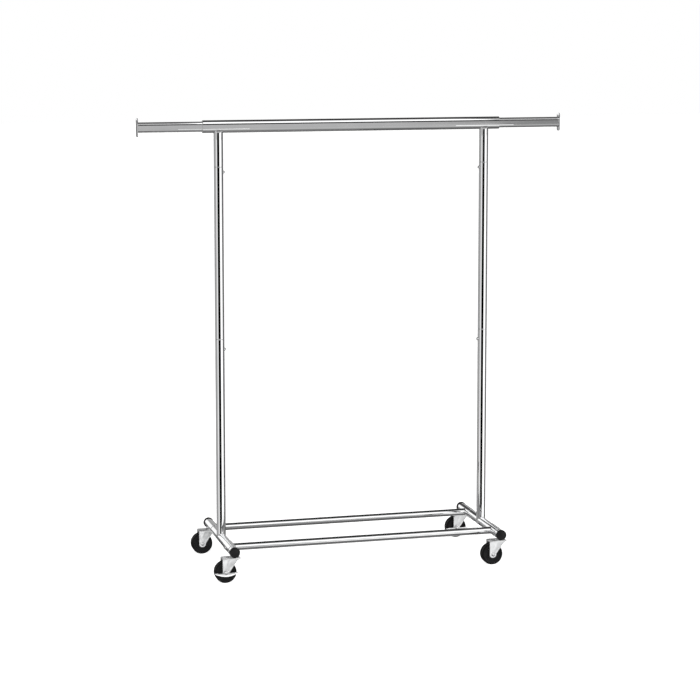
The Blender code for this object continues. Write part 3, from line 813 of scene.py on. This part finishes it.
def curve_between(start, middle, end, steps):
    """A smooth bend from start to end that leans on a middle point."""
    out = []
    for k in range(1, steps + 1):
        t = k / steps
        u = (1 - t) ** 2 * start[0] + 2 * t * (1 - t) * middle[0] + t * t * end[0]
        v = (1 - t) ** 2 * start[1] + 2 * t * (1 - t) * middle[1] + t * t * end[1]
        out.append((u, v))
    return out


def rib(px, py, ax, az, under, face, half):
    """A stiffening rib pressed out of the blade, from the crown down towards the axle."""
    shape = bmesh.new()
    top, bottom = under - 0.0005, az + 0.0115
    rows, across = 14, 10
    grid = []
    for i in range(rows + 1):
        t = i / rows
        z = bottom + (top - bottom) * t
        mid = ax + 0.001 + 0.0125 * t**1.2
        width = 0.0042 + 0.0065 * t
        rise = 0.0004 * min(1, 3.2 * t) * min(1, 8 * (1 - t) + 0.25)
        spots = [2 * k / across - 1 for k in range(across + 1)]
        grid.append([(mid + width * k, rise * (0.5 + 0.5 * math.cos(math.pi * k)), z) for k in spots])

    def sheet_at(depth, follow):
        rows_made = []
        for row in grid:
            row_made = []
            for u, h, z in row:
                y = py + face * (half - depth + (h if follow else 0))
                row_made.append(shape.verts.new((px + u, y, z)))
            rows_made.append(row_made)
        return rows_made

    outer = sheet_at(0.0002, True)
    inner = sheet_at(0.001, False)
    for sheet in (outer, inner):
        for i in range(rows):
            for k in range(across):
                shape.faces.new((sheet[i][k], sheet[i][k + 1], sheet[i + 1][k + 1], sheet[i + 1][k]))
    border = [(0, k) for k in range(across)] + [(i, across) for i in range(rows)]
    border += [(rows, k) for k in range(across, 0, -1)] + [(i, 0) for i in range(rows, 0, -1)]
    for (i, k), (m, n) in zip(border, border[1:] + border[:1]):
        shape.faces.new((outer[i][k], outer[m][n], inner[m][n], inner[i][k]))
    return finish_object("rib", shape, ZINC, 60)


def build_wheel(corner, axle, width):
    """A moulded centre with hub, web and rim, and a plain tread with a fine parting line."""
    half = width / 2
    radius = axle.z
    to_world = axis_frame(axle, "Y")
    rim = radius - 0.0045
    side = [
        (0.0045, half),
        (0.0100, half),
        (0.0108, half - 0.0008),
        (0.0113, half - 0.0036),
        (0.0125, half - 0.0042),
        (0.0265, half - 0.0042),
        (0.0280, half - 0.0036),
        (0.0286, half - 0.0014),
        (0.0296, half - 0.0009),
        (rim - 0.0008, half - 0.0009),
        (rim, half - 0.0016),
    ]
    centre = [(r, h) for r, h in side] + [(r, -h) for r, h in reversed(side)]
    hub = lathe(f"{corner}_wheel_plastic", centre, WHEEL, to_world, 80)

    shoulder = arc((radius - 0.0042, half - 0.0052), 0.0042, 82, 0, 7)
    tyre = [(rim - 0.0004, half - 0.0013), *shoulder, (radius, 0.0004), (radius - 0.0002, 0)]
    tyre = tyre + [(r, -h) for r, h in reversed(tyre[:-1])]
    tread = lathe("tread", tyre, TREAD, to_world, 96)

    spokes = []
    for k in range(6):
        a = math.pi / 2 + k * math.pi / 3
        for face in (-1, 1):
            shape = bmesh.new()
            bmesh.ops.create_cube(shape, size=1)
            bmesh.ops.scale(shape, vec=(0.0164, 0.0018, 0.0016), verts=shape.verts)
            bmesh.ops.bevel(
                shape, geom=shape.edges[:], offset=0.0004, segments=2, affect="EDGES", clamp_overlap=True
            )
            bmesh.ops.translate(shape, vec=(0.0194, 0, face * (half - 0.0036)), verts=shape.verts)
            bmesh.ops.rotate(shape, cent=(0, 0, 0), matrix=Matrix.Rotation(a, 3, "Z"), verts=shape.verts)
            bmesh.ops.transform(shape, matrix=to_world, verts=shape.verts)
            spokes.append(finish_object("spoke", shape, WHEEL))
    wheel = joined(hub, tread, *spokes)
    add(wheel, f"{corner}_roller", "tyre", f"{corner}_wheel")


def build_axle(corner, axle):
    mid, low, high = place(f"{corner}_axle_bolt")
    fork = place(f"{corner}_fork")
    blade_back = fork[2].y + GAP
    front_seat = low.y + 0.0035
    r = 0.0065
    outline = [
        (0, low.y),
        (0.0012, low.y + 0.00005),
        (0.0030, low.y + 0.0003),
        (0.0046, low.y + 0.0010),
        (0.0058, low.y + 0.0019),
        (r, low.y + 0.0029),
        (r, front_seat - 0.0002),
        (r - 0.0003, front_seat),
        (0.004, front_seat),
        (0.004, blade_back),
    ]
    bolt = lathe(
        f"{corner}_axle_zinc",
        [*outline, (0.0035, blade_back + 0.0001), (0.0035, high.y - 0.0002), (0, high.y)],
        BRIGHT,
        axis_frame(Vector((axle.x, 0, axle.z)), "Y"),
        48,
    )
    shape = bmesh.new()
    for u, v in hexagon(r):
        shape.verts.new((u, blade_back, v))
    shape.verts.ensure_lookup_table()
    bottom = shape.verts[:]
    top = [shape.verts.new((v.co.x, high.y - 0.0003, v.co.z)) for v in bottom]
    shape.faces.new(bottom)
    shape.faces.new(top[::-1])
    for i in range(6):
        shape.faces.new((bottom[i], bottom[(i + 1) % 6], top[(i + 1) % 6], top[i]))
    bmesh.ops.translate(shape, vec=(axle.x, 0, axle.z), verts=shape.verts)
    nut = finish_object("nut", shape, BRIGHT)
    bevel(nut, 0.0004, 2)
    bolt = joined(bolt, nut)
    add(bolt, f"{corner}_swivel", "zinc", f"{corner}_axle_bolt")


def build_pedal(corner, axle):
    """A pressed rocker: a hub plate, and a crescent tread that leans out below the axle."""
    mid, low, high = place(f"{corner}_brake_pedal")
    near = high.y - 0.002
    reach = (high.x - low.x) / 2
    drop = axle.z - low.z
    lean = (near - low.y) / drop
    at = Matrix.Translation(Vector((axle.x, 0, axle.z)))
    hub = slab(f"{corner}_pedal_zinc", arc((0, 0), 0.0095, 0, 350, 35), near, high.y, BRIGHT, at)

    shape = bmesh.new()
    across, down = 32, 8
    sheets = []
    for back in (0, 0.0014):
        sheet = []
        for i in range(across + 1):
            u = reach * (2 * i / across - 1) * 0.999
            depth = 0.0022 + (drop - 0.0022) * math.cos(u / reach * math.pi / 2)
            row = []
            for k in range(down + 1):
                t = k / down
                v = -depth * t
                curl = 0.0006 * math.sin(math.pi * t)
                row.append(shape.verts.new((u, near + lean * v + curl + back, v)))
            sheet.append(row)
        sheets.append(sheet)
    for sheet in sheets:
        for i in range(across):
            for k in range(down):
                shape.faces.new((sheet[i][k], sheet[i + 1][k], sheet[i + 1][k + 1], sheet[i][k + 1]))
    border = [(i, 0) for i in range(across)] + [(across, k) for k in range(down)]
    border += [(i, down) for i in range(across, 0, -1)] + [(0, k) for k in range(down, 0, -1)]
    first, second = sheets
    for (i, k), (m, n) in zip(border, border[1:] + border[:1]):
        shape.faces.new((first[i][k], first[m][n], second[m][n], second[i][k]))
    bmesh.ops.transform(shape, matrix=at, verts=shape.verts)
    tread = finish_object("tread", shape, BRIGHT)
    where = axis_frame(Vector((axle.x, 0, axle.z)), "Y")
    start, end = low.y - 0.01, near - 0.0001
    pocket = [(0, start), (0.007, start), (0.007, end), (0, end)]
    cut(tread, lathe("pocket", pocket, None, where, 40))
    start, end = near - 0.01, high.y + 0.01
    hole = [(0, start), (0.0045, start), (0.0045, end), (0, end)]
    cut(hub, lathe("hole", hole, None, where, 32))
    bevel(hub, 0.0004, 2)
    pedal = joined(hub, tread)
    add(pedal, f"{corner}_pedal", "zinc", f"{corner}_brake_pedal")


# ---- Studio -------------------------------------------------------------------------------------
def ramp(tree, value, stops, start=-180, end=180):
    """A lookup of brightness. Stops are (place, brightness), from the start to the end."""
    made = tree.nodes.new("ShaderNodeValToRGB")
    elements = made.color_ramp.elements
    for spot, _ in stops[1:-1]:
        elements.new((spot - start) / (end - start))
    for element, (_, level) in zip(elements, stops):
        element.color = (level, level, level, 1)
    tree.links.new(value, made.inputs["Fac"])
    return made.outputs["Color"]


# Brightness of the studio round the posts, just below the horizon, by compass angle: 0 is behind
# the object, 90 to its right, 180 in front, where the dark gap between the two big windows is.
HORIZON = [
    (-180, 0.0),
    (-137, 0.0),
    (-133, 0.95),
    (-120, 0.95),
    (-109, 0.75),
    (-96, 0.5),
    (-82, 0.36),
    (-40, 0.36),
    (-24, 0.5),
    (-19, 0.32),
    (-15, 0.13),
    (12, 0.13),
    (30, 0.1),
    (104, 0.14),
    (120, 1.3),
    (160, 1.3),
    (165, 1.2),
    (168, 0.0),
    (180, 0.0),
]

# The same further below the horizon, which the casters show.
NEAR_FLOOR = [
    (-180, 1.5),
    (-130, 1.2),
    (-80, 0.5),
    (-40, 0.3),
    (-15, 0.13),
    (15, 0.13),
    (60, 0.2),
    (100, 0.8),
    (130, 1.5),
    (180, 1.5),
]

# The same just above the horizon, behind the object only, which the side bars show.
BEHIND = [
    (-180, 0.4),
    (-60, 0.6),
    (-30, 1.1),
    (-9, 1.1),
    (-2, 0.3),
    (6, 0.4),
    (60, 0.5),
    (180, 0.4),
]

# Brightness by the angle up from the front: 0 is the front horizon, 90 overhead, 180 behind.
OVERHEAD = [
    (-180, 0.3),
    (-165, 0.12),
    (-120, 0.16),
    (-95, 0.12),
    (-80, 0.1),
    (-65, 0.14),
    (-55, 0.25),
    (-46, 0.36),
    (-36, 0.5),
    (-20, 0.52),
    (-9, 0.54),
    (0, 0.6),
    (13, 0.74),
    (21, 1.1),
    (27, 1.4),
    (49, 1.4),
    (57, 0.7),
    (68, 0.12),
    (82, 0.04),
    (150, 0.03),
    (180, 0.2),
]


def build_world():
    world = bpy.data.worlds.new("studio")
    bpy.context.scene.world = world
    world.use_nodes = True
    tree = world.node_tree
    tree.nodes.clear()
    where = tree.nodes.new("ShaderNodeTexCoord")
    split = tree.nodes.new("ShaderNodeSeparateXYZ")
    tree.links.new(where.outputs["Generated"], split.inputs["Vector"])

    def maths(operation, first, second=None, third=None):
        made = tree.nodes.new("ShaderNodeMath")
        made.operation = operation
        for socket, value in zip(made.inputs, (first, second, third)):
            if value is None:
                continue
            if isinstance(value, (int, float)):
                socket.default_value = value
            else:
                tree.links.new(value, socket)
        return made.outputs["Value"]

    x, y, z = (split.outputs[k] for k in "XYZ")
    compass = maths("ARCTAN2", x, y)
    rise = maths("ARCTAN2", z, maths("MULTIPLY", y, -1.0))
    turn = 1 / (2 * math.pi)
    round_about = maths("MULTIPLY_ADD", compass, turn, 0.5)
    ring = ramp(tree, round_about, HORIZON)
    low_ring = ramp(tree, round_about, NEAR_FLOOR)
    back = ramp(tree, round_about, BEHIND)
    dome = ramp(tree, maths("MULTIPLY_ADD", rise, turn, 0.5), OVERHEAD)

    def step(value, start, end):
        made = tree.nodes.new("ShaderNodeMapRange")
        made.interpolation_type = "SMOOTHSTEP"
        made.inputs["From Min"].default_value = start
        made.inputs["From Max"].default_value = end
        tree.links.new(value, made.inputs["Value"])
        return made.outputs["Result"]

    def blend(factor, first, second):
        made = tree.nodes.new("ShaderNodeMix")
        made.data_type = "RGBA"
        tree.links.new(factor, made.inputs["Factor"])
        tree.links.new(first, made.inputs["A"])
        tree.links.new(second, made.inputs["B"])
        return made.outputs["Result"]

    low = blend(step(z, -0.244, -0.252), ring, low_ring)
    high_back = maths("MULTIPLY", step(y, 0.75, 0.85), step(z, 0.33, 0.3))
    high = blend(high_back, dome, back)
    whole = blend(step(z, -0.05, -0.03), low, high)
    whole = blend(step(z, -0.32, -0.37), whole, dome)

    studio = tree.nodes.new("ShaderNodeBackground")
    tree.links.new(whole, studio.inputs["Color"])
    white = tree.nodes.new("ShaderNodeBackground")
    white.inputs["Color"].default_value = (1, 1, 1, 1)
    seen = tree.nodes.new("ShaderNodeLightPath")
    mix = tree.nodes.new("ShaderNodeMixShader")
    tree.links.new(seen.outputs["Is Camera Ray"], mix.inputs["Fac"])
    tree.links.new(studio.outputs["Background"], mix.inputs[1])
    tree.links.new(white.outputs["Background"], mix.inputs[2])
    out = tree.nodes.new("ShaderNodeOutputWorld")
    tree.links.new(mix.outputs["Shader"], out.inputs["Surface"])


def card(name, corners, axis, stops):
    """A card that only the metal's reflections show, as in a product studio.

    Its brightness runs along one axis. Stops are (place in metres, brightness).
    """
    shape = bmesh.new()
    shape.faces.new([shape.verts.new(c) for c in corners])
    mesh = bpy.data.meshes.new(name)
    shape.to_mesh(mesh)
    shape.free()
    made = bpy.data.objects.new(name, mesh)
    bpy.context.scene.collection.objects.link(made)
    material = bpy.data.materials.new(name)
    material.use_nodes = True
    tree = material.node_tree
    tree.nodes.clear()
    glow = tree.nodes.new("ShaderNodeEmission")
    where = tree.nodes.new("ShaderNodeTexCoord")
    split = tree.nodes.new("ShaderNodeSeparateXYZ")
    tree.links.new(where.outputs["Object"], split.inputs["Vector"])
    start, end = stops[0][0], stops[-1][0]
    along = remap(tree, split.outputs[axis], 0, 1, start, end)
    tree.links.new(ramp(tree, along, stops, start, end), glow.inputs["Color"])
    out = tree.nodes.new("ShaderNodeOutputMaterial")
    tree.links.new(glow.outputs["Emission"], out.inputs["Surface"])
    mesh.materials.append(material)
    made.visible_camera = False
    made.visible_diffuse = False
    made.visible_shadow = False
    made.visible_transmission = False


def upright(x0, x1, y, z0, z1):
    return [(x0, y, z0), (x1, y, z0), (x1, y, z1), (x0, y, z1)]


def flat(x0, x1, y0, y1, z):
    return [(x0, y0, z), (x1, y0, z), (x1, y1, z), (x0, y1, z)]


def build_cards():
    """Cards in front of the rail and its extensions, and on the floor before each base rail."""
    rail = place("rail_tube")[0].z
    grey = [(-1.3, 0.48), (0.3, 0.48), (0.6, 0.4), (0.85, 0.27), (1.5, 0.2)]
    card("rail_grey_card", upright(-1.3, 1.5, -0.6, rail - 0.045, rail + 0.013), "X", grey)
    dark = upright(-1.4, 1.6, -0.6, rail + 0.016, rail + 0.26)
    card("rail_dark_card", dark, "X", [(-1.4, 0.03), (1.6, 0.03)])
    near = [(-0.9, 0.47), (0.52, 0.47), (0.6, 0.28), (1.0, 0.27)]
    card("rail_near_card", upright(-0.9, 1.0, -0.1, rail - 0.026, rail - 0.008), "X", near)
    below = {"middle": (-0.35, 0.4, 0.5), "left": (-0.76, -0.6, 0.48), "right": (0.62, 0.9, 0.36)}
    for part, (start, end, level) in below.items():
        low = upright(start, end, -0.1, rail - 0.055, rail - 0.0265)
        card(f"rail_{part}_low_card", low, "X", [(start, level), (end, level)])
    for side, (start, end) in {"left": (-1.2, -0.42), "right": (0.735, 1.6)}.items():
        dim = upright(start, end, -0.6, rail + 0.27, rail + 0.66)
        card(f"{side}_dim_card", dim, "X", [(start, 0.55), (end, 0.55)])
        top = upright(start, end, -0.6, rail + 0.68, rail + 1.1)
        card(f"{side}_top_card", top, "X", [(start, 0.16), (end, 0.16)])
    for end in ENDS:
        y = place(f"{end}_base_rail")[0].y
        fade = [(y - 0.29, 0.42), (y - 0.157, 0.28), (y - 0.1, 0.18), (y - 0.06, 0.11), (y + 0.03, 0.1)]
        card(f"{end}_floor_card", flat(-0.44, 0.44, y - 0.29, y + 0.03, -0.002), "Y", fade)


def build_floor():
    shape = bmesh.new()
    bmesh.ops.create_grid(shape, x_segments=1, y_segments=1, size=30)
    mesh = bpy.data.meshes.new("floor")
    shape.to_mesh(mesh)
    shape.free()
    floor = bpy.data.objects.new("floor", mesh)
    bpy.context.scene.collection.objects.link(floor)
    material, tree, shader = new_material("pale_floor", (0.9, 0.9, 0.9), 0, 0.9)
    shader.inputs["Emission Color"].default_value = (1, 1, 1, 1)
    shader.inputs["Emission Strength"].default_value = 0.82
    mesh.materials.append(material)
    floor.visible_glossy = False


def area_light(name, spot, target, size, power):
    data = bpy.data.lights.new(name, "AREA")
    data.shape = "RECTANGLE"
    data.size, data.size_y = size
    data.energy = power
    lamp = bpy.data.objects.new(name, data)
    lamp.location = spot
    lamp.rotation_euler = (Vector(target) - Vector(spot)).to_track_quat("-Z", "Y").to_euler()
    lamp.visible_glossy = False
    bpy.context.scene.collection.objects.link(lamp)


CAMERA_PLACE = (-1.96178, -7.23938, 1.93262)
CAMERA_DOWN = 0.12423
CAMERA_TURN = 0.26318


def build_camera():
    data = bpy.data.cameras.new("camera")
    data.sensor_width = 36
    data.lens = 110.97
    data.shift_y = -0.1
    camera = bpy.data.objects.new("camera", data)
    camera.location = CAMERA_PLACE
    camera.rotation_euler = (math.pi / 2 - CAMERA_DOWN, 0, -CAMERA_TURN)
    bpy.context.scene.collection.objects.link(camera)
    bpy.context.scene.camera = camera


def main():
    build_rail()
    build_posts()
    build_base()
    for end in ENDS:
        for side in SIDES:
            build_caster(f"{end}_{side}")
    build_world()
    build_floor()
    build_cards()
    area_light("key", (-2.5, -3.0, 3.2), (0, 0, 0.6), (2.5, 2.5), 90)
    area_light("fill", (3.0, -2.5, 2.0), (0, 0, 0.5), (2.5, 2.5), 50)
    build_camera()
    bpy.context.scene.view_settings.view_transform = "Standard"


main()
